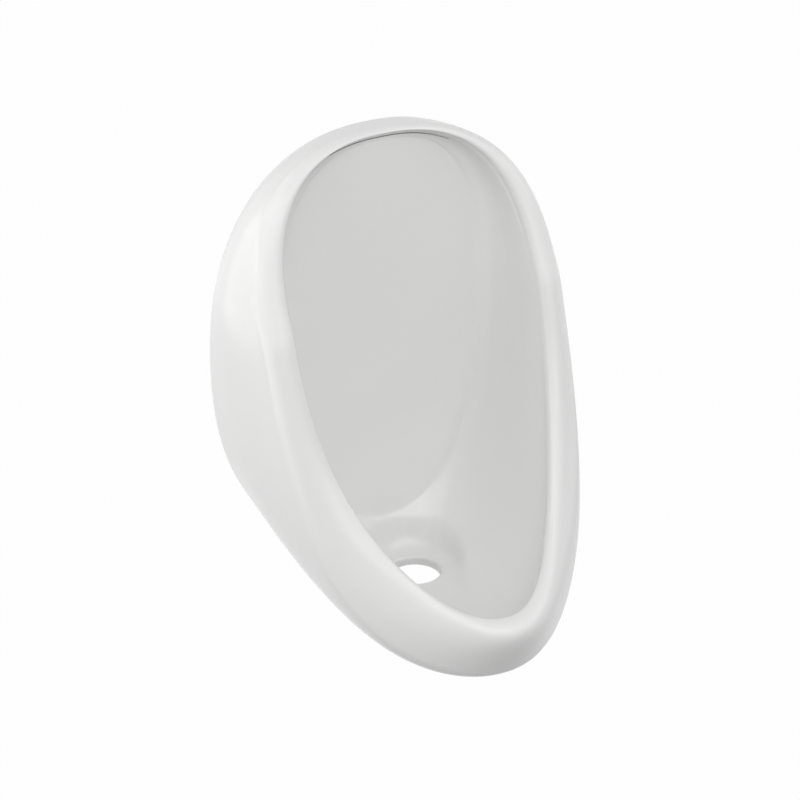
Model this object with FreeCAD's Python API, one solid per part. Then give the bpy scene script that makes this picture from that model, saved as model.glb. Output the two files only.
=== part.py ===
"""Wall-hung urinal: a vitreous china bowl hooked on two steel hangers, with a back inlet.

Millimetres. +Z is up, +X is to the right of someone who faces the bowl, the wall is the
plane Y = 0 and the bowl stands out of it towards -Y. The origin is on the wall, on the
centreline, in the middle of the four hanger screws.
"""
import FreeCAD
import Part
import os
from collections import namedtuple
from math import cos, hypot, pi, radians, sin, tan

Vector = FreeCAD.Vector
os.makedirs("parts", exist_ok=True)

# ---------------------------------------------------------------- driving dimensions
# Back edge of the bowl, flat on the wall. Heights are measured from the hanger screws.
back_half_width = 177.5
back_top = 116.0
back_bottom = -337.0
back_widest = -105.0        # height of the widest level
back_upper_power = 2.3      # 2 is an ellipse, more is squarer
back_lower_power = 2.25

# Outer edge of the rim, where the rolled rim starts.
rim_half_width = back_half_width - 10.5
rim_top = back_top
rim_bottom = back_bottom - 13.0
rim_widest = -50.0
rim_upper_power = 2.5
rim_lower_power = 2.95
rim_top_reach = 22.0        # distance from the wall at the top
rim_lip_reach = 286.5       # and at the front lip
rim_lean = 0.5              # share of the reach that is gained evenly from top to lip
rim_sweep = 4.6             # the rest comes in at the lip, sharper with a higher power

# Inner edge of the rim, where the basin starts.
rim_side_width = 31.5
rim_top_width = 5.5         # seen from the front
rim_lip_width = 49.5
mouth_half_width = rim_half_width - rim_side_width
mouth_top = rim_top - rim_top_width
mouth_bottom = rim_bottom + rim_lip_width
mouth_widest = -43.5
mouth_upper_power = 2.67
mouth_lower_power = 2.21
mouth_top_reach = rim_top_reach + 4.0
mouth_lip_reach = rim_lip_reach - 13.0
mouth_lean = 0.57
mouth_sweep = 6.1

# Fullness of the hull between the wall and the rim, and of the rolled rim.
hull_sag = 28.0             # drop of the underside below a straight line
hull_sag_towards_lip = 1.4
hull_sag_at_rim = 0.51
hull_swell = 5.4            # the same for the sides
hull_swell_power = 1.4
rim_roll = 14.8             # how far the rolled rim stands proud
rim_roll_gain = 0.26        # share of it that is added at the lip
rim_roll_lift = 4.3         # rise of the roll at the lip

# Basin: a nearly flat back panel, deep fillets and a floor with a sump.
panel_half_width = mouth_half_width - 28.0
panel_top = mouth_top - 7.5
panel_bottom = mouth_bottom + 2.5
panel_widest = -60.0
panel_upper_power = 2.7
panel_lower_power = 2.4
panel_reach = 29.0          # from the wall at the hanger screws' height
panel_slope = 2.0           # degrees, the panel's foot comes forward
wall_draft = 6.0            # the basin's sides close in by this much before the fillet
basin_floor = back_bottom - 5.0
china_wall = 8.0

# Sump and outlet: a dished trough round the outlet that narrows towards the lip.
outlet_radius = 26.0
outlet_reach = 96.0
sump_floor = basin_floor + 1.0
sump_radius = 50.0
sump_front_radius = 24.0
sump_length = 84.0
sump_fillet = 20.0
sump_cut_height = 46.0
outlet_floor = 9.5          # thickness of the china at the outlet
outlet_pad_radius = 42.0

# Hollow back, open to the wall inside a flat flange.
flange_width = 24.0
flange_thickness = 9.0
solid_top = 38.0            # cast solid this far down from the top, round the channel
solid_bottom = 26.0

# Hangers: a plate with two screws, a shelf and a tongue that stands behind a china lug.
hanger_spacing = 170.0
screw_spacing = 22.0
hanger_width = 40.0
hanger_sheet = 3.0
plate_half_height = 24.0
plate_corner = 5.0
tongue_height = 19.0
tongue_gap = 1.0
bend_radius = 2.5
lug_width = 56.0

# Hanger screws and washers.
screw_radius = 3.0
screw_length = 50.0         # in the wall
screw_neck_radius = 2.5     # plain neck from the head to the wall
screw_neck_taper = 0.5
screw_point = 7.0
screw_head_radius = 6.0
screw_head_height = 3.6
screw_head_edge = 1.4
screw_recess_width = 1.6
screw_recess_span = 6.4
screw_recess_depth = 2.0
hole_clearance = 0.5
washer_radius = 7.5
washer_thickness = 1.4
washer_clearance = 0.3

# Inlet: a brass tail from the wall, held in a socket in the china by a rubber seal.
inlet_height = 62.0
inlet_block_width = 64.0
inlet_block_drop = 32.0
socket_radius = 20.0
socket_depth = 15.0
tail_radius = 11.0
tail_bore_radius = 8.0
tail_length_in_wall = 34.0
tail_end_gap = 3.0
tail_thread_radius = 10.48  # half-inch pipe thread
tail_thread_length = 15.0
tail_collar_flats = 27.0
tail_collar_length = 7.0
tail_collar_setback = 4.0
seal_length = 11.0
seal_setback = 2.0
seal_clearance = 0.2
seal_groove_radius = 1.2
seal_groove_places = (0.3, 0.7)     # shares of the seal's length

# Flush water rises behind the panel and leaves by a slot under the rim's top edge.
passage_radius = 7.0
riser_radius = 6.0
riser_reach = 13.5
channel_radius = 5.0
channel_inset = 14.0
channel_half_angle = 30.0   # degrees each side of the top
slot_height = 2.0
slot_drop = 3.2             # from the rim's inner edge

overshoot = 1.0             # cutters go this far past the faces that they open
touch = 0.01                # two places closer than this are the same place

# ---------------------------------------------------------------- rings
# Every section of the bowl is a closed ring: a squared ellipse in front view, with its
# own reach from the wall at each point.
Ring = namedtuple(
    "Ring",
    "half_width top bottom widest upper_power lower_power top_reach lip_reach lean sweep",
)
RING_POINTS = 48
ARC_POINTS = 13


def ring_point(ring, angle):
    """Point of a ring. Angle 0 is the side at +X, 90 degrees the top and -90 the lip."""
    across = cos(angle)
    rise = sin(angle)
    power = ring.upper_power if rise > 0 else ring.lower_power
    height = ring.top - ring.widest if rise > 0 else ring.widest - ring.bottom
    scale = (abs(across) ** power + abs(rise) ** power) ** (1 / power)
    fall = (1 - rise) / 2
    gain = ring.lean * fall + (1 - ring.lean) * fall ** ring.sweep
    reach = ring.top_reach + (ring.lip_reach - ring.top_reach) * gain
    return Vector(ring.half_width * across / scale, -reach, ring.widest + height * rise / scale)


def ring_points(ring):
    """All points of a ring, from the lip round by +X to the top and back."""
    return [ring_point(ring, 2 * pi * i / RING_POINTS - pi / 2) for i in range(RING_POINTS)]


def flat_ring(half_width, top, bottom, widest, upper_power, lower_power, reach, slope=0.0):
    """A ring in one plane. With a slope its foot comes forward of the origin's level."""
    flat = Ring(half_width, top, bottom, widest, upper_power, lower_power, 0, 0, 1, 1)
    return [Vector(p.x, -reach + p.z * tan(radians(slope)), p.z) for p in ring_points(flat)]


def closed_curve(points):
    """Smooth closed curve through the points of one ring."""
    curve = Part.BSplineCurve()
    knots = [i / len(points) for i in range(len(points) + 1)]
    curve.interpolate(Points=points, PeriodicFlag=True, Parameters=knots)
    return curve


def skin_solid(rings):
    """Solid with one smooth skin through the rings and a flat cap on the first and last."""
    curves = [closed_curve(points) for points in rings]
    travel = [0.0]
    for near, far in zip(rings, rings[1:]):
        travel.append(travel[-1] + max(p.distanceToPoint(q) for p, q in zip(near, far)))
    stations = [distance / travel[-1] for distance in travel]
    ribs = []
    for column in zip(*[curve.getPoles() for curve in curves]):
        rib = Part.BSplineCurve()
        rib.interpolate(Points=list(column), Parameters=stations)
        ribs.append(rib)
    surface = Part.BSplineSurface()
    surface.buildFromPolesMultsKnots(
        [rib.getPoles() for rib in ribs],
        curves[0].getMultiplicities(), ribs[0].getMultiplicities(),
        curves[0].getKnots(), ribs[0].getKnots(),
        True, False, curves[0].Degree, ribs[0].Degree,
    )
    face = surface.toShape()
    rims = [edge for edge in face.Edges if edge.isClosed() and not edge.isSeam(face)]
    shell = Part.Shell([face] + [Part.Face(Part.Wire(edge)) for edge in rims])
    shell.sewShape()
    solid = Part.Solid(shell)
    if solid.Volume < 0:
        solid.reverse()
    return solid


def blend(near, far, share):
    """Points between two rings."""
    return [p * (1 - share) + q * share for p, q in zip(near, far)]


def hump(share, rise, fall):
    """0 at both ends and 1 at its highest, which lies at rise / (rise + fall)."""
    peak = rise / (rise + fall)
    return share ** rise * (1 - share) ** fall / (peak ** rise * (1 - peak) ** fall)


BACK = Ring(back_half_width, back_top, back_bottom, back_widest,
            back_upper_power, back_lower_power, 0, 0, 1, 1)
RIM = Ring(rim_half_width, rim_top, rim_bottom, rim_widest, rim_upper_power,
           rim_lower_power, rim_top_reach, rim_lip_reach, rim_lean, rim_sweep)
MOUTH = Ring(mouth_half_width, mouth_top, mouth_bottom, mouth_widest, mouth_upper_power,
             mouth_lower_power, mouth_top_reach, mouth_lip_reach, mouth_lean, mouth_sweep)


def hull_rings(inset=0.0, shares=(0, 0.14, 0.3, 0.46, 0.62, 0.76, 0.88, 0.96, 1)):
    """Rings of the hull from the wall to the rim, drawn in by a wall thickness."""
    back = ring_points(BACK._replace(half_width=back_half_width - inset,
                                     top=back_top - inset, bottom=back_bottom + inset))
    rim = ring_points(RIM._replace(half_width=rim_half_width - inset,
                                   top=rim_top - inset, bottom=rim_bottom + inset))
    rings = []
    for share in shares:
        sag = hull_sag * hump(share, hull_sag_towards_lip, hull_sag_at_rim)
        swell = hull_swell * hump(share, hull_swell_power, hull_swell_power)
        points = []
        for i, point in enumerate(blend(back, rim, share)):
            angle = 2 * pi * i / RING_POINTS - pi / 2
            low = max(-sin(angle), 0) ** 2
            points.append(point + Vector(swell * cos(angle), 0, -sag * low))
        rings.append(points)
    return rings


def roll_rings(steps=8):
    """Rings over the rolled rim, from its outer edge to the mouth, ends left out."""
    outer = ring_points(RIM)
    inner = ring_points(MOUTH)
    rings = []
    for step in range(1, steps):
        turn = pi * step / steps
        points = []
        for i in range(RING_POINTS):
            angle = 2 * pi * i / RING_POINTS - pi / 2
            low = max(-sin(angle), 0) ** 2
            proud = Vector(0, -rim_roll * (1 + rim_roll_gain * low), rim_roll_lift * low)
            middle = (outer[i] + inner[i]) / 2
            half = (outer[i] - inner[i]) / 2
            points.append(middle + half * cos(turn) + proud * sin(turn))
        rings.append(points)
    return rings


# The basin's rings from the mouth to the panel: how much of the way each one has come in
# width, height, reach at the top, reach at the lip, and drop of its lowest point.
BasinStep = namedtuple("BasinStep", "inward topward lip_share drop")
BASIN_STEPS = (
    BasinStep(0.00, 0.04, 0.960, 0.55),
    BasinStep(0.01, 0.10, 0.860, 0.86),
    BasinStep(0.03, 0.18, 0.680, 0.98),
    BasinStep(0.06, 0.30, 0.460, 1.00),
    BasinStep(0.14, 0.46, 0.270, 0.86),
    BasinStep(0.38, 0.70, 0.120, 0.52),
    BasinStep(0.74, 0.90, 0.045, 0.20),
)


def panel_ring(grow=0.0):
    """Edge of the flat back panel. Grown, it is the panel's rear edge, a wall behind."""
    return flat_ring(panel_half_width + grow, panel_top + grow, panel_bottom - grow,
                     panel_widest, panel_upper_power, panel_lower_power,
                     panel_reach - grow, panel_slope)


def basin_rings(grow=0.0):
    """Rings of the basin from the mouth to the panel, grown outward by a wall."""
    panel_lip_reach = panel_reach - panel_bottom * tan(radians(panel_slope))
    panel_top_reach = panel_reach - panel_top * tan(radians(panel_slope))
    rings = [ring_points(MOUTH._replace(half_width=mouth_half_width + grow,
                                        top=mouth_top + grow, bottom=mouth_bottom - grow))]
    for count, step in enumerate(BASIN_STEPS, start=1):
        along = count / (len(BASIN_STEPS) + 1)
        draft = wall_draft * along
        side = mouth_half_width - draft
        half_width = side - (side - panel_half_width) * step.inward
        top = mouth_top - (mouth_top - panel_top) * step.topward
        flat = mouth_bottom + (panel_bottom - mouth_bottom) * step.topward
        bottom = flat + (basin_floor - flat) * step.drop
        lip = panel_lip_reach + (mouth_lip_reach - panel_lip_reach) * step.lip_share
        top_reach = mouth_top_reach + (panel_top_reach - mouth_top_reach) * step.topward
        rings.append(ring_points(Ring(
            half_width + grow, top + grow, bottom - grow,
            mouth_widest + (panel_widest - mouth_widest) * along,
            mouth_upper_power, mouth_lower_power,
            top_reach - grow * along, lip - grow * along,
            mouth_lean + (1 - mouth_lean) * along ** 2,
            mouth_sweep,
        )))
    rings.append(panel_ring(grow))
    return rings


# ---------------------------------------------------------------- small helpers
def cylinder_y(x, z, reach_from, reach_to, radius):
    """Cylinder along Y between two distances from the wall."""
    length = reach_to - reach_from
    return Part.makeCylinder(radius, length, Vector(x, -reach_from, z), Vector(0, -1, 0))


def box(x_from, x_to, reach_from, reach_to, z_from, z_to):
    """Box given by its sides, with Y as a distance from the wall."""
    return Part.makeBox(x_to - x_from, reach_to - reach_from, z_to - z_from,
                        Vector(x_from, -reach_to, z_from))


# ---------------------------------------------------------------- the china bowl
lug_bottom = plate_half_height


def back_opening():
    """Prism through the wall flange, notched for the two lugs that hang on the shelves."""
    outline = flat_ring(back_half_width - flange_width, back_top - solid_top,
                        back_bottom + flange_width, back_widest,
                        back_upper_power, back_lower_power, -overshoot)
    prism = Part.Face(Part.Wire(closed_curve(outline).toShape()))
    prism = prism.extrude(Vector(0, -flange_thickness - 2 * overshoot, 0))
    for side in (-1, 1):
        middle = side * hanger_spacing / 2
        prism = prism.cut(box(middle - lug_width / 2, middle + lug_width / 2, -2 * overshoot,
                              flange_thickness, lug_bottom, back_top))
    return prism


def hull_room():
    """Space inside the hull, ending in a small core that lies within the basin."""
    shares = (0, 0.2, 0.42, 0.62, 0.8)
    low_limit = back_bottom + solid_bottom
    high_limit = back_top - solid_top
    middle = (low_limit + high_limit) / 2
    squeeze_up = (high_limit - middle) / (back_top - china_wall - middle)
    squeeze_down = (middle - low_limit) / (middle - back_bottom - china_wall)
    rings = []
    for points, share in zip(hull_rings(china_wall, shares), shares):
        setback = flange_thickness * (1 - share)
        squeezed = []
        for p in points:
            squeeze = squeeze_up if p.z > middle else squeeze_down
            squeezed.append(Vector(p.x, p.y - setback, middle + (p.z - middle) * squeeze))
        rings.append(squeezed)
    rings.append(flat_ring(mouth_half_width / 2, panel_top / 2, panel_bottom / 2,
                           panel_widest, 2, 2, mouth_lip_reach / 2))
    return skin_solid(rings)


def walled_basin():
    """The basin and the air in front of it, grown by the thickness of the china."""
    rings = basin_rings(china_wall)
    clear_reach = rim_lip_reach + outlet_pad_radius
    front = [Vector(p.x, -clear_reach, p.z) for p in rings[0]]
    return skin_solid([front] + rings)


def back_hollow():
    """Room between the hull and the basin, open to the wall, less the inlet's block."""
    room = hull_room().fuse(back_opening()).cut(walled_basin())
    half = inlet_block_width / 2
    return room.cut(box(-half, half, -2 * overshoot, mouth_top_reach,
                        inlet_height - inlet_block_drop, back_top))


def sump_cutter():
    """Trough round the outlet: wide at the back, narrow to the front, filleted floor."""
    narrowing = (sump_radius - sump_front_radius) / sump_length
    normal = Vector((1 - narrowing ** 2) ** 0.5, -narrowing, 0)
    mirrored = Vector(-normal.x, normal.y, 0)
    back = Vector(0, -outlet_reach, sump_floor)
    front = back - Vector(0, sump_length, 0)
    corners = (back + normal * sump_radius, back + mirrored * sump_radius,
               front + mirrored * sump_front_radius, front + normal * sump_front_radius)
    outline = Part.Wire([
        Part.Arc(corners[0], back + Vector(0, sump_radius, 0), corners[1]).toShape(),
        Part.LineSegment(corners[1], corners[2]).toShape(),
        Part.Arc(corners[2], front - Vector(0, sump_front_radius, 0), corners[3]).toShape(),
        Part.LineSegment(corners[3], corners[0]).toShape(),
    ])
    trough = Part.Face(outline).extrude(Vector(0, 0, sump_cut_height))
    floor_edges = [edge for edge in trough.Edges if edge.CenterOfMass.z < sump_floor + touch]
    return trough.makeFillet(sump_fillet, floor_edges)


def outlet_pad():
    """Flat seat under the outlet for the nut and washer of a waste."""
    centre = Vector(0, -outlet_reach, sump_floor - outlet_floor)
    return Part.makeCylinder(outlet_pad_radius, outlet_floor, centre)


def outlet_room():
    """Clear space under the pad, deeper than the hull."""
    depth = 2 * hull_sag
    centre = Vector(0, -outlet_reach, sump_floor - outlet_floor - depth)
    return Part.makeCylinder(outlet_pad_radius, depth, centre)


def outlet_bore():
    """Round hole for the waste."""
    centre = Vector(0, -outlet_reach, sump_floor - 2 * outlet_floor)
    return Part.makeCylinder(outlet_radius, 4 * outlet_floor, centre)


def arc_at_top(ring, reach_gain=0.0):
    """Curve along a ring over its top, as far each side as the flush channel goes."""
    points = []
    for i in range(ARC_POINTS):
        angle = radians(90 - channel_half_angle + 2 * channel_half_angle * i / (ARC_POINTS - 1))
        points.append(ring_point(ring, angle) - Vector(0, reach_gain, 0))
    curve = Part.BSplineCurve()
    curve.interpolate(Points=points)
    return curve.toShape()


def waterways():
    """Socket, passage, riser, curved channel and the flush slot, as one cutter."""
    socket = cylinder_y(0, inlet_height, -overshoot, socket_depth, socket_radius)
    passage = cylinder_y(0, inlet_height, 0, riser_reach + riser_radius, passage_radius)
    channel_ring = BACK._replace(
        half_width=back_half_width - channel_inset, top=back_top - channel_inset,
        top_reach=riser_reach, lip_reach=riser_reach)
    channel_line = arc_at_top(channel_ring)
    start = channel_line.valueAt(channel_line.FirstParameter)
    along = channel_line.tangentAt(channel_line.FirstParameter)
    section = Part.Wire(Part.Circle(start, along, channel_radius).toShape())
    channel = Part.Wire(channel_line).makePipeShell([section], True, True)
    rise = channel_ring.top - inlet_height
    riser = Part.makeCylinder(riser_radius, rise, Vector(0, -riser_reach, inlet_height))
    slot_ring = MOUTH._replace(half_width=mouth_half_width - slot_drop / 2,
                               top=mouth_top - slot_drop)
    slot_edge = arc_at_top(slot_ring, reach_gain=slot_height)
    slot = Part.makeRuledSurface(slot_edge, channel_line).extrude(Vector(0, 0, slot_height))
    return [socket, passage, riser, channel, slot]


def make_bowl():
    """China bowl in one piece."""
    bowl = skin_solid(hull_rings() + roll_rings() + basin_rings())
    bowl = bowl.cut(back_hollow())
    bowl = bowl.cut(sump_cutter())
    bowl = bowl.fuse(outlet_pad()).cut(outlet_room()).cut(outlet_bore())
    for cutter in waterways():
        bowl = bowl.cut(cutter)
    return bowl


# ---------------------------------------------------------------- hangers and fixings
def edges_along(shape, direction, is_wanted):
    """Edges that run along a direction and whose middle passes a test."""
    return [edge for edge in shape.Edges
            if edge.tangentAt(edge.FirstParameter).cross(direction).Length < touch
            and is_wanted(edge.CenterOfMass)]


def make_hanger(side):
    """Steel hanger: plate on the wall, shelf under the lug, tongue behind it."""
    tongue_reach = flange_thickness + tongue_gap
    front = tongue_reach + hanger_sheet
    outline = (
        (0, -plate_half_height), (hanger_sheet, -plate_half_height),
        (hanger_sheet, lug_bottom - hanger_sheet), (front, lug_bottom - hanger_sheet),
        (front, lug_bottom + tongue_height), (tongue_reach, lug_bottom + tongue_height),
        (tongue_reach, lug_bottom), (0, lug_bottom),
    )
    left = side * hanger_spacing / 2 - hanger_width / 2
    points = [Vector(left, -reach, z) for reach, z in outline]
    hanger = Part.Face(Part.makePolygon(points + points[:1])).extrude(Vector(hanger_width, 0, 0))
    bends = edges_along(hanger, Vector(1, 0, 0), lambda p: hypot(
        p.y + front, p.z - lug_bottom + hanger_sheet) < touch)
    hanger = hanger.makeFillet(bend_radius, bends)
    tip = lug_bottom + tongue_height
    corners = edges_along(hanger, Vector(0, 1, 0), lambda p: (
        p.z + plate_half_height < touch or tip - p.z < touch))
    hanger = hanger.makeFillet(plate_corner, corners)
    for end in (-1, 1):
        hanger = hanger.cut(cylinder_y(side * hanger_spacing / 2, end * screw_spacing / 2,
                                       -overshoot, hanger_sheet + overshoot,
                                       screw_radius + hole_clearance))
    return hanger


def make_washer(x, z):
    """Flat washer on the hanger's plate."""
    near = hanger_sheet
    far = near + washer_thickness
    disc = cylinder_y(x, z, near, far, washer_radius)
    return disc.cut(cylinder_y(x, z, near, far, screw_radius + washer_clearance))


def make_screw(x, z):
    """Pan-head wall screw with a cross recess. Its shank stands out of the wall plane."""
    seat = hanger_sheet + washer_thickness
    top = seat + screw_head_height
    shank_end = -screw_length
    dome = screw_head_height - screw_head_edge
    dome_radius = (screw_head_radius ** 2 + dome ** 2) / (2 * dome)
    half = Vector(screw_head_radius / 2, 0, 0)
    sag = (dome_radius ** 2 - half.x ** 2) ** 0.5 - (dome_radius - dome)
    profile = [
        Part.LineSegment(Vector(0, shank_end), Vector(screw_radius, shank_end + screw_point)),
        Part.LineSegment(Vector(screw_radius, shank_end + screw_point),
                         Vector(screw_radius, 0)),
        Part.LineSegment(Vector(screw_radius, 0),
                         Vector(screw_neck_radius, screw_neck_taper)),
        Part.LineSegment(Vector(screw_neck_radius, screw_neck_taper),
                         Vector(screw_neck_radius, seat)),
        Part.LineSegment(Vector(screw_neck_radius, seat), Vector(screw_head_radius, seat)),
        Part.LineSegment(Vector(screw_head_radius, seat),
                         Vector(screw_head_radius, seat + screw_head_edge)),
        Part.Arc(Vector(screw_head_radius, seat + screw_head_edge),
                 Vector(half.x, seat + screw_head_edge + sag), Vector(0, top)),
        Part.LineSegment(Vector(0, top), Vector(0, shank_end)),
    ]
    face = Part.Face(Part.Wire([piece.toShape() for piece in profile]))
    screw = face.revolve(Vector(0, 0, 0), Vector(0, 1, 0), 360)
    screw.rotate(Vector(0, 0, 0), Vector(0, 0, 1), 180)
    screw.translate(Vector(x, 0, z))
    span = screw_recess_span / 2
    width = screw_recess_width / 2
    deep = top - screw_recess_depth
    above = top + overshoot
    upright = box(x - width, x + width, deep, above, z - span, z + span)
    level = box(x - span, x + span, deep, above, z - width, z + width)
    return screw.cut(upright).cut(level)


# ---------------------------------------------------------------- inlet
def make_inlet_tail():
    """Brass tube from the china's socket through the wall, with a hexagon and a thread."""
    mouth = socket_depth - tail_end_gap
    tube = cylinder_y(0, inlet_height, tail_thread_length - tail_length_in_wall, mouth,
                      tail_radius)
    thread = cylinder_y(0, inlet_height, -tail_length_in_wall,
                        tail_thread_length - tail_length_in_wall, tail_thread_radius)
    corner = tail_collar_flats / 2 / cos(radians(30))
    corners = []
    for i in range(7):
        angle = radians(60 * i)
        corners.append(Vector(corner * cos(angle), tail_collar_setback,
                              inlet_height + corner * sin(angle)))
    collar = Part.Face(Part.makePolygon(corners)).extrude(Vector(0, tail_collar_length, 0))
    bore = cylinder_y(0, inlet_height, -tail_length_in_wall - overshoot, socket_depth,
                      tail_bore_radius)
    return tube.fuse([thread, collar]).cut(bore).removeSplitter()


def make_inlet_seal():
    """Rubber ring between the brass tail and the china's socket, grooved outside."""
    outer = socket_radius - seal_clearance
    end = seal_setback + seal_length
    ring = cylinder_y(0, inlet_height, seal_setback, end, outer)
    ring = ring.cut(cylinder_y(0, inlet_height, seal_setback, end, tail_radius + seal_clearance))
    for share in seal_groove_places:
        centre = Vector(0, -(seal_setback + seal_length * share), inlet_height)
        groove = Part.makeTorus(outer, seal_groove_radius, centre, Vector(0, 1, 0))
        ring = ring.cut(groove)
    return ring


# ---------------------------------------------------------------- export
def export(name, shape):
    """Write one node and print what it is."""
    print(name, len(shape.Solids), "solid,", round(shape.Volume), "mm3, valid", shape.isValid())
    shape.exportStep(f"parts/{name}.step")


export("bowl", make_bowl())
for side, hand in ((-1, "left"), (1, "right")):
    export(f"hanger_{hand}", make_hanger(side))
    for end, place in ((1, "upper"), (-1, "lower")):
        x = side * hanger_spacing / 2
        z = end * screw_spacing / 2
        export(f"washer_{hand}_{place}", make_washer(x, z))
        export(f"screw_{hand}_{place}", make_screw(x, z))
export("inlet_tail", make_inlet_tail())
export("inlet_seal", make_inlet_seal())
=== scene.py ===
# %% [markdown]
# # A wall hung urinal bowl
# The real thing is one casting of white vitreous china, thin-walled, glazed all over except
# where it meets the wall, and hung on two steel hangers. The fixed parts come in from the
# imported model, which sets their size and place. This script dresses them: the bowl is built
# again as a fine smooth mesh, because a glossy glaze shows every flat facet, and the metal
# and rubber parts behind it get their own finishes.

import bpy
import bmesh
from collections import namedtuple
from math import atan2, cos, pi, radians, sin, sqrt, tan
from mathutils import Matrix, Vector


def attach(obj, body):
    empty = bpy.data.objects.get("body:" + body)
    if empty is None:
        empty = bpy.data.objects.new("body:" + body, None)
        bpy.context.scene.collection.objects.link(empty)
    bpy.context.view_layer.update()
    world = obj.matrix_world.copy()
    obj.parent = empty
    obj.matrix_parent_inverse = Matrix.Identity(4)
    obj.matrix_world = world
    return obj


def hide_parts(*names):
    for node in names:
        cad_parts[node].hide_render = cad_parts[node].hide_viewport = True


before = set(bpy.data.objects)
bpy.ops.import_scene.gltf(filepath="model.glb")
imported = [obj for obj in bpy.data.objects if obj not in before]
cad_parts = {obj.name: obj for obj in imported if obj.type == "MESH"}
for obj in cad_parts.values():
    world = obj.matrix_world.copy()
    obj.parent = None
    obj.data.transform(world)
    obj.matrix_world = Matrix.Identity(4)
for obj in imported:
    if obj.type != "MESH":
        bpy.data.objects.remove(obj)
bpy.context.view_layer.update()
print("fixed parts:", sorted(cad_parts))

# %% [markdown]
# ## The camera
# The photograph looks down on the bowl from its left front. A long lens from two and a half
# metres keeps the bowl's upright lines nearly parallel, as they are in the photograph.

# %% Camera at the photograph's angle
AIM = Vector((0, -0.065, -0.160))
CAMERA_TURN, CAMERA_RISE, CAMERA_DISTANCE = -30, 27, 2.5


def face_bowl(item, turn, rise, distance):
    """Put an object at an angle round the bowl, in degrees, and point it at the bowl."""
    turn, rise = radians(turn), radians(rise)
    outward = Vector((sin(turn) * cos(rise), -cos(turn) * cos(rise), sin(rise)))
    item.location = AIM + outward * distance
    item.rotation_euler = (-outward).to_track_quat("-Z", "Y").to_euler()
    bpy.context.scene.collection.objects.link(item)


camera_data = bpy.data.cameras.new("camera")
camera_data.lens = 112.5
camera_data.sensor_width = 36
camera = bpy.data.objects.new("camera", camera_data)
face_bowl(camera, CAMERA_TURN, CAMERA_RISE, CAMERA_DISTANCE)
bpy.context.scene.camera = camera
print("camera at", [round(value, 3) for value in camera.location])

# %% [markdown]
# ## Rings
# Every section of the bowl is a closed ring. Seen from the front it is an ellipse with its
# corners pushed out, narrower below than above, and each of its points has its own distance
# from the wall, because the rim sweeps forward to a lip. Measures are in millimetres, as on
# a maker's drawing, and turn to metres where the mesh is made.

# %% The ring and its formula
MM = 0.001
Ring = namedtuple("Ring", "half_width top bottom widest upper_power lower_power "
                          "top_reach lip_reach lean sweep")
BACK = Ring(177.5, 116, -337, -105, 2.3, 2.25, 0, 0, 1, 1)
RIM = Ring(167, 116, -352, -50, 2.5, 2.95, 22, 282, 0.5, 4.6)
MOUTH = Ring(135.5, 110.5, -300.5, -43.5, 2.67, 2.21, 26, 273.5, 0.57, 6.1)


def ring_place(ring, turn):
    """Place on a ring, in millimetres. Turn 0 is the right side, a quarter turn the top."""
    power = ring.upper_power if sin(turn) > 0 else ring.lower_power
    height = ring.top - ring.widest if sin(turn) > 0 else ring.widest - ring.bottom
    scale = (abs(cos(turn)) ** power + abs(sin(turn)) ** power) ** (1 / power)
    fall = (1 - sin(turn)) / 2
    gain = ring.lean * fall + (1 - ring.lean) * fall ** ring.sweep
    reach = ring.top_reach + (ring.lip_reach - ring.top_reach) * gain
    return Vector((ring.half_width * cos(turn) / scale, -reach,
                   ring.widest + height * sin(turn) / scale))


def drawn_in(ring, inset):
    """The same ring with its sides, its top and its bottom moved in."""
    return ring._replace(half_width=ring.half_width - inset, top=ring.top - inset,
                         bottom=ring.bottom + inset)


def low_share(turn):
    """0 over the upper half of a ring, growing to 1 at its lowest point."""
    return max(-sin(turn), 0) ** 2


# %% [markdown]
# ## From ring to ring
# A circle of points is the start. It is extruded again and again, and after each extrusion
# the new points are set on the next ring. Each point keeps its turn in a layer of the mesh,
# which extrusion copies, so it always knows where on the ring it belongs.

# %% Helpers that make a body and extrude a circle from ring to ring
def finished(name, bm):
    """Object in the scene that holds the mesh worked on so far."""
    mesh = bpy.data.meshes.new(name)
    bm.to_mesh(mesh)
    bm.free()
    body = bpy.data.objects.new(name, mesh)
    bpy.context.scene.collection.objects.link(body)
    return body


def loft(name, places, around):
    """Closed body through rings. Each entry of places gives a point for a turn."""
    bm = bmesh.new()
    turn_of = bm.verts.layers.float.new("turn")
    bmesh.ops.create_circle(bm, cap_ends=True, segments=around, radius=1)
    for vert in bm.verts:
        vert[turn_of] = atan2(vert.co.y, vert.co.x)
        vert.co = places[0](vert[turn_of]) * MM
    edges = list(bm.edges)
    for place in places[1:]:
        made = bmesh.ops.extrude_edge_only(bm, edges=edges)["geom"]
        for vert in (item for item in made if isinstance(item, bmesh.types.BMVert)):
            vert.co = place(vert[turn_of]) * MM
        edges = [item for item in made if isinstance(item, bmesh.types.BMEdge)]
    bmesh.ops.edgeloop_fill(bm, edges=edges)
    bmesh.ops.recalc_face_normals(bm, faces=bm.faces)
    return finished(name, bm)


# %% [markdown]
# ## Hull and rim
# The hull grows from the wall to the rim. A straight skin would look like a bucket, so its
# underside sags and its sides swell. Over the top and the sides the rim is rolled from the
# hull to the mouth in half a turn. Towards the lip the roll squares off into a level land, a
# tight corner and a front face that leans back.

# %% Places on the hull and on the rim
Bulge = namedtuple("Bulge", "size rise fall")
SAG, SWELL = Bulge(28, 1.4, 0.51), Bulge(5.4, 1.4, 1.4)
ROLL_PROUD, EASE_AT_TOP, EASE_AT_CHEEKS = 14.8, 0.55, 1.2
LIP_CORNER, LIP_FULLNESS = Vector((0, -34, -2)), 0.64


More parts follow.
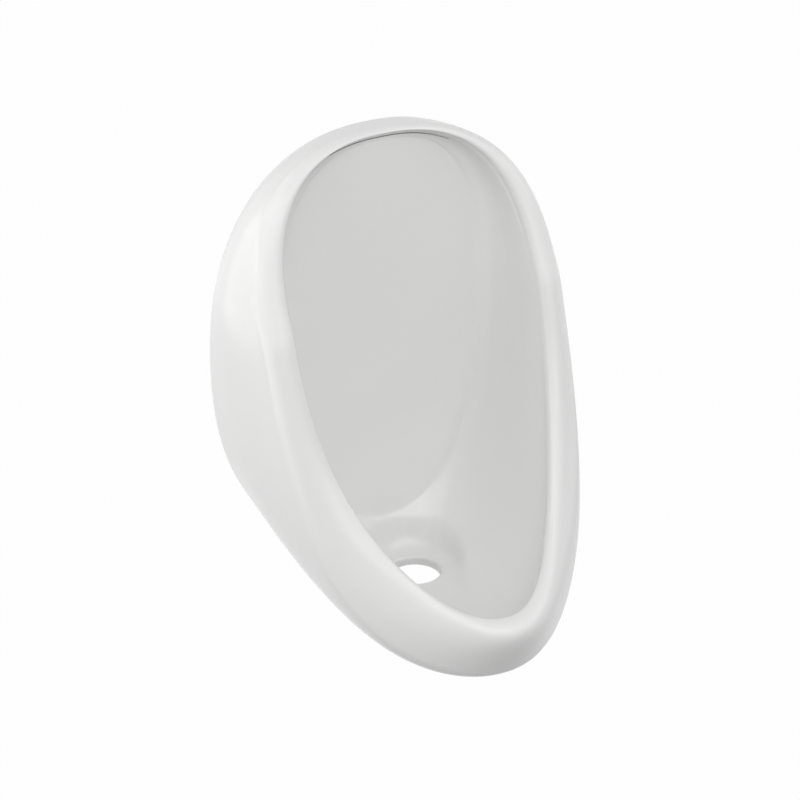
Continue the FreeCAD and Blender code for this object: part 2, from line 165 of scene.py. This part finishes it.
def bulged(bulge, share):
    """Nothing at both ends of the way, and the bulge's size at the highest place between."""
    peak = bulge.rise / (bulge.rise + bulge.fall)
    height = peak ** bulge.rise * (1 - peak) ** bulge.fall
    return bulge.size * (share ** bulge.rise * (1 - share) ** bulge.fall / height)


def on_hull(share, inset=0.0):
    """Ring on the hull, at a share of the way from the wall to the rim."""
    back, rim = drawn_in(BACK, inset), drawn_in(RIM, inset)
    sag, swell = bulged(SAG, share), bulged(SWELL, share)

    def place(turn):
        straight = ring_place(back, turn).lerp(ring_place(rim, turn), share)
        return straight + Vector((swell * cos(turn), 0, -sag * low_share(turn)))
    return place


def on_roll(share):
    """Ring on the rolled rim, from its outer edge over its crest to the mouth."""
    def place(turn):
        outer, inner = ring_place(RIM, turn), ring_place(MOUTH, turn)
        low = low_share(turn)
        ease = EASE_AT_TOP * low_share(-turn) + EASE_AT_CHEEKS * low * (1 - low)
        proud = Vector((0, -ROLL_PROUD * (1 - ease), 0))
        rounded = ((outer + inner) / 2 + (outer - inner) / 2 * cos(pi * share)
                   + proud * sin(pi * share))
        corner = inner + LIP_CORNER
        angle = pi / 2 * (1 - share)
        squared = (corner + (inner - corner) * (1 - sin(angle) ** LIP_FULLNESS)
                   + (outer - corner) * (1 - cos(angle) ** LIP_FULLNESS))
        return rounded.lerp(squared, low)
    return place


# %% [markdown]
# ## Basin
# Inside the mouth the walls run back almost straight, turn through a deep fillet and end in
# a nearly flat back panel. The floor dips to the outlet. Seven steps say how far each ring
# has come in, and a smooth curve through them gives as many rings as the glaze needs.

# %% Measures of the basin
PANEL = Ring(107.5, 103, -298, -60, 2.7, 2.4, 0, 0, 1, 1)
PANEL_REACH, PANEL_SLOPE = 29, tan(radians(2))
BASIN_FLOOR, WALL_DRAFT = -342, 6
BasinStep = namedtuple("BasinStep", "inward topward lip_share drop")
BASIN_STEPS = (
    BasinStep(0.00, 0.04, 0.960, 0.55),
    BasinStep(0.01, 0.10, 0.860, 0.86),
    BasinStep(0.03, 0.18, 0.680, 0.98),
    BasinStep(0.06, 0.30, 0.460, 1.00),
    BasinStep(0.14, 0.46, 0.270, 0.86),
    BasinStep(0.38, 0.70, 0.108, 0.52),
    BasinStep(0.74, 0.90, 0.020, 0.20),
)
BASIN_LENGTH = len(BASIN_STEPS) + 1
ROLL_BEFORE_MOUTH, PANEL_PAST_EDGE = 0.9, 0.9


# %% Places in the basin
def on_panel(grow=0.0, size=1.0):
    """Ring in the panel's plane; a smaller size lies inside its edge."""
    flat = drawn_in(PANEL, -grow)
    middle = Vector((0, 0, PANEL.widest))

    def place(turn):
        point = middle.lerp(ring_place(flat, turn), size)
        return Vector((point.x, point.z * PANEL_SLOPE - PANEL_REACH + grow, point.z))
    return place


def basin_step(number, grow=0.0):
    """Ring at one of the steps, as a place for a turn."""
    step = BASIN_STEPS[number - 1]
    along = number / BASIN_LENGTH
    lip = PANEL_REACH - PANEL.bottom * PANEL_SLOPE
    top = PANEL_REACH - PANEL.top * PANEL_SLOPE
    side = MOUTH.half_width - WALL_DRAFT * along
    flat = MOUTH.bottom + (PANEL.bottom - MOUTH.bottom) * step.topward
    ring = Ring(
        side - (side - PANEL.half_width) * step.inward + grow,
        MOUTH.top - (MOUTH.top - PANEL.top) * step.topward + grow,
        flat + (BASIN_FLOOR - flat) * step.drop - grow,
        MOUTH.widest + (PANEL.widest - MOUTH.widest) * along,
        MOUTH.upper_power, MOUTH.lower_power,
        MOUTH.top_reach + (top - MOUTH.top_reach) * step.topward - grow * along,
        lip + (MOUTH.lip_reach - lip) * step.lip_share - grow * along,
        MOUTH.lean + (1 - MOUTH.lean) * along ** 2,
        MOUTH.sweep,
    )
    return lambda turn: ring_place(ring, turn)


def on_basin(position, grow=0.0):
    """Ring on a smooth curve through the mouth, the steps and the panel's edge."""
    mouth = drawn_in(MOUTH, -grow)
    stops = ([on_roll(ROLL_BEFORE_MOUTH), lambda turn: ring_place(mouth, turn)]
             + [basin_step(number, grow) for number in range(1, BASIN_LENGTH)]
             + [on_panel(grow), on_panel(grow, PANEL_PAST_EDGE)])
    first = min(int(position), len(stops) - 4)
    near, start, end, far = stops[first:first + 4]
    s = position - first

    def place(turn):
        a, b, c, d = near(turn), start(turn), end(turn), far(turn)
        return (b + (c - a) * (s / 2) + (2 * a - 5 * b + 4 * c - d) * (s * s / 2)
                + (3 * b - a - 3 * c + d) * (s ** 3 / 2))
    return place


# %% [markdown]
# ## Trough and outlet
# Round the outlet the potter dishes the floor into a trough, wide behind the hole and
# narrowing towards the lip. Its outline is a large and a small circle joined by two straight
# sides. The floor takes whichever is lower, the basin or the trough, and a soft step between
# them gives the rounded ridge that the glaze shows as a bright line.

# %% Lowering the basin's floor into the trough
OUTLET = Vector((0, -96, -341))
TROUGH_BACK, TROUGH_FRONT, TROUGH_LENGTH, TROUGH_FILLET = 50, 24, 84, 20
TROUGH_HEIGHT, TROUGH_MARGIN, TROUGH_FLARE, RIDGE_SOFTNESS = 60, 12, 7, 6


def inside_trough(x, y):
    """How far a place lies inside the trough's outline, in millimetres."""
    along, across = OUTLET.y - y, abs(x)
    taper = (TROUGH_BACK - TROUGH_FRONT) / TROUGH_LENGTH
    level = sqrt(1 - taper * taper)
    forward = along * level - across * taper
    if forward < 0:
        return TROUGH_BACK - sqrt(across ** 2 + along ** 2)
    if forward > level * TROUGH_LENGTH:
        return TROUGH_FRONT - sqrt(across ** 2 + (along - TROUGH_LENGTH) ** 2)
    return TROUGH_BACK - across * level - along * taper


def lower_of(first, second, softness):
    """The lower of two heights, with a soft step where they are close."""
    near = max(softness - abs(first - second), 0) / softness
    return min(first, second) - near * near * softness / 4


def dished(point):
    """The same point, or a lower one if the trough goes deeper there."""
    inside = inside_trough(point.x, point.y)
    if point.z > OUTLET.z + TROUGH_HEIGHT or inside < -TROUGH_MARGIN:
        return point
    rest = TROUGH_FILLET - inside
    if rest <= 0:
        trough = OUTLET.z
    elif inside > 0:
        trough = OUTLET.z + TROUGH_FILLET - sqrt(TROUGH_FILLET ** 2 - rest ** 2)
    else:
        trough = OUTLET.z + TROUGH_FILLET - inside * TROUGH_FLARE
    return Vector((point.x, point.y, lower_of(point.z, trough, RIDGE_SOFTNESS)))


# %% [markdown]
# ## The skin
# All the rings in one run: a small rounding at the wall, the hull, the roll, the basin and
# the panel. Rings stand closer together on the hull next to the rim, where it turns most.
# One level of subdivision then turns the rings into the even, soft skin that glazed china
# has.

# %% Skin of the bowl
AROUND, HULL_RINGS, ROLL_RINGS, RINGS_PER_STEP = 144, 22, 16, 6
HULL_START, HULL_CROWDING = 0.12, 1.5
WALL_ROUNDING = 1.6
WALL_SHARES, PANEL_SIZES = (0, 0.34, 0.67, 1), (0.93, 0.8, 0.6, 0.3)


def at_wall(share):
    """Ring on the small rounding between the wall face and the hull."""
    ring = drawn_in(BACK, WALL_ROUNDING * (1 - sin(share * pi / 2)))
    reach = WALL_ROUNDING * (1 - cos(share * pi / 2))
    return lambda turn: ring_place(ring, turn) - Vector((0, reach, 0))


def dished_basin(position):
    """Ring in the basin, with the trough in its floor."""
    ring = on_basin(position)
    return lambda turn: dished(ring(turn))


def settled(body):
    """Make what the modifiers show the body's own mesh, and drop the modifiers."""
    shown = body.evaluated_get(bpy.context.evaluated_depsgraph_get())
    mesh = bpy.data.meshes.new_from_object(shown)
    body.modifiers.clear()
    body.data = mesh


hull_length = 1 - HULL_START
hull_shares = [1 - (hull_length - hull_length * i / HULL_RINGS) ** HULL_CROWDING
               for i in range(HULL_RINGS + 1)]
places = ([at_wall(share) for share in WALL_SHARES]
          + [on_hull(share) for share in hull_shares]
          + [on_roll(i / ROLL_RINGS) for i in range(1, ROLL_RINGS)]
          + [dished_basin(i / RINGS_PER_STEP) for i in range(RINGS_PER_STEP * BASIN_LENGTH + 1)]
          + [on_panel(0, size) for size in PANEL_SIZES])
bowl = loft("bowl_china", places, AROUND)
soft = bowl.modifiers.new("soften", "SUBSURF")
soft.levels = soft.render_levels = 1
settled(bowl)
print("skin:", len(bowl.data.polygons), "faces")

# %% [markdown]
# ## The hollow back
# Slip casting leaves a wall of about eight millimetres, so the bowl is open behind. Room is
# the space inside the hull, less the basin with its own wall, less the solid block that
# holds the inlet. Two lugs are left in the opening's edge, and the hangers carry them.

# %% Helpers that cut, and two plain shapes to cut with
TURNED_AROUND, ROOM_AROUND = 96, 72


def carve(body, tool, operation="DIFFERENCE"):
    """Cut a body with a tool or join the two, and remove the tool."""
    cut = body.modifiers.new("carve", "BOOLEAN")
    cut.operation, cut.solver, cut.object = operation, "MANIFOLD", tool
    settled(body)
    bpy.data.objects.remove(tool)


def block(name, low, high):
    """Box between two corners, in millimetres."""
    bm = bmesh.new()
    bmesh.ops.create_cube(bm, size=1)
    low, high = Vector(low), Vector(high)
    bmesh.ops.transform(bm, verts=bm.verts, matrix=Matrix.Translation((low + high) / 2 * MM)
                        @ Matrix.Diagonal((*((high - low) * MM), 1)))
    return finished(name, bm)


def turned(name, profile, centre, axis="Z"):
    """Body turned on a lathe: profile pairs are radius and height, in millimetres."""
    bm = bmesh.new()
    verts = [bm.verts.new((radius * MM, 0, height * MM)) for radius, height in profile]
    edges = [bm.edges.new(pair) for pair in zip(verts, verts[1:])]
    bmesh.ops.spin(bm, geom=verts + edges, axis=(0, 0, 1), cent=(0, 0, 0), angle=2 * pi,
                   steps=TURNED_AROUND, use_merge=True, use_duplicate=False)
    bmesh.ops.remove_doubles(bm, verts=bm.verts, dist=1e-6)
    bmesh.ops.recalc_face_normals(bm, faces=bm.faces)
    if axis == "Y":
        bmesh.ops.rotate(bm, verts=bm.verts, matrix=Matrix.Rotation(pi / 2, 3, "X"))
    bmesh.ops.translate(bm, verts=bm.verts, vec=Vector(centre) * MM)
    return finished(name, bm)


# %% Places on the room and its opening
CHINA, FLANGE_WIDTH, FLANGE_THICKNESS, OVER = 8, 24, 9, 1
SOLID_TOP, SOLID_BOTTOM, CLEAR_OF_BOWL = 38, 26, 340
HANGER_X, LUG_WIDTH, LUG_BOTTOM = 85, 56, 24
INLET_BLOCK_HALF, INLET_BLOCK_BOTTOM = 32, 30


def in_hull(share):
    """Ring inside the hull, drawn in from the top and the bottom, which are cast solid."""
    low, high = BACK.bottom + SOLID_BOTTOM, BACK.top - SOLID_TOP
    middle = (low + high) / 2
    up = (high - middle) / (BACK.top - CHINA - middle)
    down = (middle - low) / (middle - BACK.bottom - CHINA)
    ring = on_hull(share, CHINA)

    def place(turn):
        point = ring(turn)
        squeeze = up if point.z > middle else down
        return Vector((point.x, point.y - FLANGE_THICKNESS * (1 - share),
                       middle + (point.z - middle) * squeeze))
    return place


def core(turn):
    """Last ring of the room, which lies inside the basin and is cut away with it."""
    ring = Ring(MOUTH.half_width / 2, PANEL.top / 2, PANEL.bottom / 2, PANEL.widest,
                2, 2, MOUTH.lip_reach / 2, MOUTH.lip_reach / 2, 1, 1)
    return ring_place(ring, turn)


def opening(reach):
    """Ring of the opening inside the flat wall flange."""
    ring = BACK._replace(half_width=BACK.half_width - FLANGE_WIDTH, top=BACK.top - SOLID_TOP,
                         bottom=BACK.bottom + FLANGE_WIDTH, top_reach=reach, lip_reach=reach)
    return lambda turn: ring_place(ring, turn)


def ahead_of_mouth(turn):
    """The grown mouth, moved out in front of the whole bowl."""
    point = on_basin(0, CHINA)(turn)
    return Vector((point.x, -CLEAR_OF_BOWL, point.z))


# %% Room behind the basin
room = loft("room", [in_hull(i / 10) for i in range(9)] + [core], ROOM_AROUND)
back_opening = loft("back_opening", [opening(-OVER), opening(FLANGE_THICKNESS + OVER)],
                    ROOM_AROUND)
for side in (-1, 1):
    left, right = side * HANGER_X - LUG_WIDTH / 2, side * HANGER_X + LUG_WIDTH / 2
    carve(back_opening, block("lug", (left, -FLANGE_THICKNESS, LUG_BOTTOM),
                              (right, 3 * OVER, BACK.top)))
carve(room, back_opening, "UNION")
walled_basin = loft("walled_basin", [ahead_of_mouth]
                    + [on_basin(i / 2, CHINA) for i in range(2 * BASIN_LENGTH + 1)], ROOM_AROUND)
carve(room, walled_basin)
carve(room, block("inlet_block", (-INLET_BLOCK_HALF, -MOUTH.top_reach, INLET_BLOCK_BOTTOM),
                  (INLET_BLOCK_HALF, 3 * OVER, BACK.top)))
carve(bowl, room)
print("with its hollow back:", len(bowl.data.polygons), "faces")

# %% [markdown]
# ## Outlet and inlet socket
# The outlet has a round pad below for the nut of a waste, and a soft edge above, because a
# glazed edge is never sharp. The inlet is a plain socket in the solid top.

# %% Cutting the outlet and the inlet socket
PAD_RADIUS, PAD_THICKNESS, PAD_COVER, UNDER_PAD = 42, 9.5, 2, 60
OUTLET_RADIUS, OUTLET_EDGE, EDGE_STEPS, BORE_BELOW, BORE_ABOVE = 26, 3, 6, 20, 6
SOCKET_RADIUS, SOCKET_DEPTH, INLET_HEIGHT = 20, 15, 62

pad_bottom = OUTLET.z - PAD_THICKNESS
pad_height = PAD_THICKNESS - PAD_COVER
carve(bowl, turned("pad", [(0, 0), (PAD_RADIUS, 0), (PAD_RADIUS, pad_height), (0, pad_height)],
                   (0, OUTLET.y, pad_bottom)), "UNION")
carve(bowl, turned("under_pad", [(0, -UNDER_PAD), (PAD_RADIUS, -UNDER_PAD), (PAD_RADIUS, 0),
                                 (0, 0)], (0, OUTLET.y, pad_bottom)))
edge_angles = [i * pi / (2 * EDGE_STEPS) for i in range(EDGE_STEPS + 1)]
flare = [(OUTLET_RADIUS + OUTLET_EDGE * (1 - cos(angle)), OUTLET_EDGE * (sin(angle) - 1))
         for angle in edge_angles]
carve(bowl, turned("outlet_bore", [(0, -BORE_BELOW), (OUTLET_RADIUS, -BORE_BELOW)] + flare
                   + [(OUTLET_RADIUS + OUTLET_EDGE, BORE_ABOVE), (0, BORE_ABOVE)], OUTLET))
carve(bowl, turned("inlet_socket", [(0, -OVER), (SOCKET_RADIUS, -OVER),
                                    (SOCKET_RADIUS, SOCKET_DEPTH), (0, SOCKET_DEPTH)],
                   (0, 0, INLET_HEIGHT), axis="Y"))
print("with its outlet and socket:", len(bowl.data.polygons), "faces")

# %% [markdown]
# ## Flush slot
# The slot that lets the flush water out is a hairline just below the rim's inner edge. It
# runs back to where the flush channel lies in the solid top, so a thin curved blade cuts it.

# %% Cutting the flush slot
SLOT_DROP, SLOT_HEIGHT, SLOT_SPREAD, SLOT_ACROSS = 3.2, 0.8, radians(30), 48
CHANNEL_INSET, CHANNEL_REACH = 14, 13.5


def slot_cutter():
    """Thin curved blade from the basin's top edge back to the flush channel's place."""
    front = MOUTH._replace(half_width=MOUTH.half_width - SLOT_DROP / 2,
                           top=MOUTH.top - SLOT_DROP)
    rear = BACK._replace(half_width=BACK.half_width - CHANNEL_INSET,
                         top=BACK.top - CHANNEL_INSET, top_reach=CHANNEL_REACH,
                         lip_reach=CHANNEL_REACH)
    bm = bmesh.new()
    bmesh.ops.create_grid(bm, x_segments=SLOT_ACROSS, y_segments=1, size=1)
    for vert in bm.verts:
        turn = pi / 2 - vert.co.x * SLOT_SPREAD
        at_front = ring_place(front, turn) - Vector((0, SLOT_HEIGHT, 0))
        vert.co = (at_front if vert.co.y < 0 else ring_place(rear, turn)) * MM
    raised = bmesh.ops.extrude_face_region(bm, geom=list(bm.faces))["geom"]
    bmesh.ops.translate(bm, verts=[v for v in raised if isinstance(v, bmesh.types.BMVert)],
                        vec=(0, 0, SLOT_HEIGHT * MM))
    bmesh.ops.recalc_face_normals(bm, faces=bm.faces)
    return finished("slot", bm)


carve(bowl, slot_cutter())
print("with its flush slot:", len(bowl.data.polygons), "faces")

# %% [markdown]
# ## In place of the plain bowl
# The china is smooth everywhere but at the cut edges, so only those stay sharp. The dressed
# bowl then stands in for the plain one.

# %% The dressed bowl takes the plain one's place
SHARP_EDGE = radians(38)
bowl.data.shade_smooth()
bowl.data.set_sharp_from_angle(angle=SHARP_EDGE)
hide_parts("bowl")
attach(bowl, "root")
print("bowl:", len(bowl.data.polygons), "faces")

# %% [markdown]
# ## Glaze
# Vitreous china is a dense white body under a clear glass coat. The body scatters light, so
# the white is soft; the coat gives thin sharp highlights. The coat is never quite level: a
# very fine, shallow waviness breaks the reflections.

# %% Helpers for the finishes
def material(name, base, roughness, metallic=0.0):
    """New material with a plain shader; returns its nodes, its links and the shader."""
    new = bpy.data.materials.new(name)
    new.use_nodes = True
    shader = new.node_tree.nodes["Principled BSDF"]
    shader.inputs["Base Color"].default_value = (*base, 1)
    shader.inputs["Roughness"].default_value = roughness
    shader.inputs["Metallic"].default_value = metallic
    return new, new.node_tree.nodes, new.node_tree.links, shader


def cloudiness(nodes, links, scale, detail=2.0, stretch=(1, 1, 1)):
    """Soft random pattern that is fixed to the piece; returns its output."""
    place_of = nodes.new("ShaderNodeTexCoord")
    stretcher = nodes.new("ShaderNodeMapping")
    stretcher.inputs["Scale"].default_value = stretch
    links.new(place_of.outputs["Object"], stretcher.inputs["Vector"])
    cloud = nodes.new("ShaderNodeTexNoise")
    cloud.inputs["Scale"].default_value = scale
    cloud.inputs["Detail"].default_value = detail
    links.new(stretcher.outputs["Vector"], cloud.inputs["Vector"])
    return cloud.outputs["Fac"]


def vary_roughness(nodes, links, source, shader, low, high):
    """Let a pattern move the roughness between two limits."""
    between = nodes.new("ShaderNodeMapRange")
    between.inputs["From Min"].default_value = 0.3
    between.inputs["From Max"].default_value = 0.7
    between.inputs["To Min"].default_value = low
    between.inputs["To Max"].default_value = high
    links.new(source, between.inputs["Value"])
    links.new(between.outputs["Result"], shader.inputs["Roughness"])


def relief(nodes, links, source, shader, height):
    """Let a pattern raise the surface, by a height in millimetres."""
    bump = nodes.new("ShaderNodeBump")
    bump.inputs["Strength"].default_value = 1
    bump.inputs["Distance"].default_value = height * MM
    links.new(source, bump.inputs["Height"])
    links.new(bump.outputs["Normal"], shader.inputs["Normal"])


# %% White glazed china
glaze, nodes, links, shader = material("white_glaze", (0.80, 0.80, 0.795), roughness=0.2)
relief(nodes, links, cloudiness(nodes, links, scale=18), shader, height=0.03)
vary_roughness(nodes, links, cloudiness(nodes, links, scale=160, detail=3), shader, 0.17, 0.23)

# %% [markdown]
# The face against the wall rests on the kiln shelf while the glaze melts, so it stays bare.
# It is warmer, rough and finely pitted. A second material goes on every face that lies flat
# in the wall's plane.

# %% Bare fired clay on the wall face
WALL_PLANE_DEPTH = 0.2
bare, nodes, links, shader = material("bare_china", (0.74, 0.71, 0.66), roughness=0.85)
relief(nodes, links, cloudiness(nodes, links, scale=900, detail=4), shader, height=0.1)
vary_roughness(nodes, links, cloudiness(nodes, links, scale=60, detail=4), shader, 0.75, 0.95)
bowl.data.materials.clear()
bowl.data.materials.append(glaze)
bowl.data.materials.append(bare)
bare_faces = [face for face in bowl.data.polygons if face.center.y > -WALL_PLANE_DEPTH * MM]
for face in bare_faces:
    face.material_index = 1
print("bare faces against the wall:", len(bare_faces))

# %% [markdown]
# ## Metal and rubber behind the bowl
# The fixed parts keep their shapes and get their finishes. The hangers are pressed from
# galvanised sheet, whose zinc freezes in flat crystals, so patches of it differ in gloss.
# The screws and washers are plated bright, the inlet tail is turned brass with fine marks
# round its axis, and the seal is black rubber with a dull bloom.

# %% Galvanised steel
zinc, nodes, links, shader = material("galvanised_steel", (0.56, 0.57, 0.58), 0.4, 1.0)
place_of = nodes.new("ShaderNodeTexCoord")
crystals = nodes.new("ShaderNodeTexVoronoi")
crystals.inputs["Scale"].default_value = 220
links.new(place_of.outputs["Object"], crystals.inputs["Vector"])
tones = nodes.new("ShaderNodeValToRGB")
tones.color_ramp.elements[0].color = (0.50, 0.51, 0.53, 1)
tones.color_ramp.elements[1].color = (0.64, 0.65, 0.66, 1)
links.new(crystals.outputs["Color"], tones.inputs["Fac"])
links.new(tones.outputs["Color"], shader.inputs["Base Color"])
vary_roughness(nodes, links, crystals.outputs["Color"], shader, 0.28, 0.5)
relief(nodes, links, cloudiness(nodes, links, scale=700), shader, height=0.02)

# %% Bright plating, turned brass and rubber
plated, nodes, links, shader = material("bright_zinc_plate", (0.70, 0.70, 0.68), 0.25, 1.0)
vary_roughness(nodes, links, cloudiness(nodes, links, scale=500, detail=3), shader, 0.2, 0.36)
relief(nodes, links, cloudiness(nodes, links, scale=1500), shader, height=0.01)

brass, nodes, links, shader = material("turned_brass", (0.74, 0.56, 0.27), 0.28, 1.0)
marks = cloudiness(nodes, links, scale=60, stretch=(1, 60, 1))
vary_roughness(nodes, links, marks, shader, 0.2, 0.34)
relief(nodes, links, marks, shader, height=0.02)

rubber, nodes, links, shader = material("black_rubber", (0.025, 0.025, 0.027), roughness=0.6)
vary_roughness(nodes, links, cloudiness(nodes, links, scale=150, detail=4), shader, 0.5, 0.75)
relief(nodes, links, cloudiness(nodes, links, scale=2500), shader, height=0.03)

# %% Finishes go on the fixed parts
FINISHES = {"hanger": zinc, "screw": plated, "washer": plated, "inlet_tail": brass,
            "inlet_seal": rubber}
for name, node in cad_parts.items():
    for start, finish in FINISHES.items():
        if name.startswith(start):
            node.data.materials.clear()
            node.data.materials.append(finish)
            print(name, "is", finish.name)

# %% [markdown]
# ## Floor and light
# The bowl hangs at its usual height, with the lip about sixty centimetres above the floor.
# The world gives a dim, even white light. Large soft lamps stand round the left and in
# front, and fewer at the right, so the outside of the bowl is brightest at the left
# and the basin's right wall stays darker. The floor is grey for the light that it throws up,
# or the underside would be as bright as the top, and nearly white for the camera.

# %% Covering a surface with white for the camera
def seen_as_white(tree, surface, output, cover=1.0):
    """Cover a surface with plain white for the camera and for reflections.

    Light that falls on the bowl still comes from the surface itself. A cover below 1 lets
    some of the surface, and the shadow on it, show through.
    """
    path = tree.nodes.new("ShaderNodeLightPath")
    glow = tree.nodes.new("ShaderNodeBackground" if output.type == "OUTPUT_WORLD"
                          else "ShaderNodeEmission")
    glow.inputs["Color"].default_value = (1, 1, 1, 1)
    glow.inputs["Strength"].default_value = 1
    seen = path.outputs["Is Camera Ray"]
    for kind in ("Is Glossy Ray", "Is Transmission Ray"):
        either = tree.nodes.new("ShaderNodeMath")
        either.operation = "MAXIMUM"
        tree.links.new(seen, either.inputs[0])
        tree.links.new(path.outputs[kind], either.inputs[1])
        seen = either.outputs[0]
    share = tree.nodes.new("ShaderNodeMath")
    share.operation = "MULTIPLY"
    share.inputs[1].default_value = cover
    tree.links.new(seen, share.inputs[0])
    mix = tree.nodes.new("ShaderNodeMixShader")
    tree.links.new(share.outputs[0], mix.inputs["Fac"])
    tree.links.new(surface, mix.inputs[1])
    tree.links.new(glow.outputs[0], mix.inputs[2])
    tree.links.new(mix.outputs[0], output.inputs["Surface"])


# %% Floor
FLOOR_HEIGHT, FLOOR_HALF, FLOOR_COVER = -0.95, 6, 0.985
bm = bmesh.new()
bmesh.ops.create_grid(bm, x_segments=1, y_segments=1, size=FLOOR_HALF)
bmesh.ops.translate(bm, verts=bm.verts, vec=(0, 0, FLOOR_HEIGHT))
floor = finished("floor", bm)
pale_floor, nodes, links, shader = material("pale_floor", (0.3, 0.3, 0.3), roughness=0.9)
seen_as_white(pale_floor.node_tree, shader.outputs[0], nodes["Material Output"], FLOOR_COVER)
floor.data.materials.append(pale_floor)
print("floor", 2 * FLOOR_HALF, "m wide, at", FLOOR_HEIGHT, "m")

# %% World
world = bpy.data.worlds.new("light_tent")
world.use_nodes = True
bpy.context.scene.world = world
sky = world.node_tree.nodes["Background"]
sky.inputs["Color"].default_value = (1, 1, 1, 1)
sky.inputs["Strength"].default_value = 0.2
seen_as_white(world.node_tree, sky.outputs[0], world.node_tree.nodes["World Output"])
print("world:", world.name)

# %% Soft lamps: name, turn and rise in degrees, power in watts
LAMP_WIDTH, LAMP_DISTANCE = 2.4, 2.6
LAMPS = (
    ("front_high", 0, 40, 24),
    ("front", 0, 0, 7),
    ("left_front_high", -60, 40, 20),
    ("left", -90, 0, 18),
    ("left_back", -120, 0, 19),
    ("left_back_high", -120, 40, 13),
    ("back_left", -150, 0, 5),
    ("right", 90, 0, 8),
    ("right_front_high", 60, 40, 18),
)
for name, turn, rise, power in LAMPS:
    lamp_data = bpy.data.lights.new(name, "AREA")
    lamp_data.size, lamp_data.energy = LAMP_WIDTH, power
    face_bowl(bpy.data.objects.new(name, lamp_data), turn, rise, LAMP_DISTANCE)
print("lamps:", len(LAMPS))

# %% [markdown]
# ## Finish
# The view keeps colours as they are written.

# %% Colours as written
bpy.context.scene.view_settings.view_transform = "Standard"
